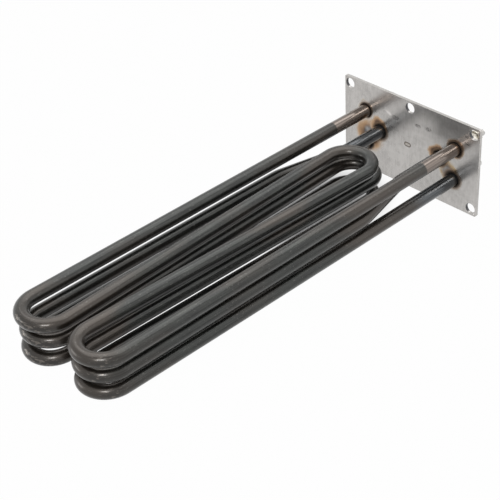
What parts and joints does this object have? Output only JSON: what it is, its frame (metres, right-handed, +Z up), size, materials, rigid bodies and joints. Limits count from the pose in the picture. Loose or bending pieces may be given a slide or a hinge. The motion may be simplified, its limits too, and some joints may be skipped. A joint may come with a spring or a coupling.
{
  "type": "flanged tubular heating element",
  "caption": "Stacked W-bent tubular heating rods on a rectangular bolting flange, with ceramic-sealed stud terminals behind it.",
  "frame": {"origin": "middle of the bolt pattern on the flange plate's tube side, the face that seats on the wall", "axes": "tubes reach along -Y, terminals stand out along +Y, +Z up the plate's short side, X along its long side"},
  "size_m": [0.11, 0.3148, 0.0624],
  "materials": {
    "flange_steel": "satin stainless sheet with heat tint round the tubes",
    "tube_sheath": "dark oxidised alloy tube, brighter where it is rubbed",
    "braze_metal": "dull brazing alloy with flux stain",
    "seal_ceramic": "unglazed white steatite",
    "terminal_steel": "plain turned steel",
    "nickel_plate": "dull nickel plating"
  },
  "bodies": {
    "root": {"flange_plate": "flange_steel", "upper_heating_tube": "tube_sheath", "middle_heating_tube": "tube_sheath", "lower_heating_tube": "tube_sheath", "upper_left_braze_bead": "braze_metal", "upper_left_end_seal": "seal_ceramic", "upper_left_terminal_stud": "terminal_steel", "upper_right_braze_bead": "braze_metal", "upper_right_end_seal": "seal_ceramic", "upper_right_terminal_stud": "terminal_steel", "middle_left_braze_bead": "braze_metal", "middle_left_end_seal": "seal_ceramic", "middle_left_terminal_stud": "terminal_steel", "middle_right_braze_bead": "braze_metal", "middle_right_end_seal": "seal_ceramic", "middle_right_terminal_stud": "terminal_steel", "lower_left_braze_bead": "braze_metal", "lower_left_end_seal": "seal_ceramic", "lower_left_terminal_stud": "terminal_steel", "lower_right_braze_bead": "braze_metal", "lower_right_end_seal": "seal_ceramic", "lower_right_terminal_stud": "terminal_steel", "lock_nuts": "nickel_plate", "washers": "nickel_plate", "clamp_nuts": "nickel_plate"}
  },
  "joints": []
}
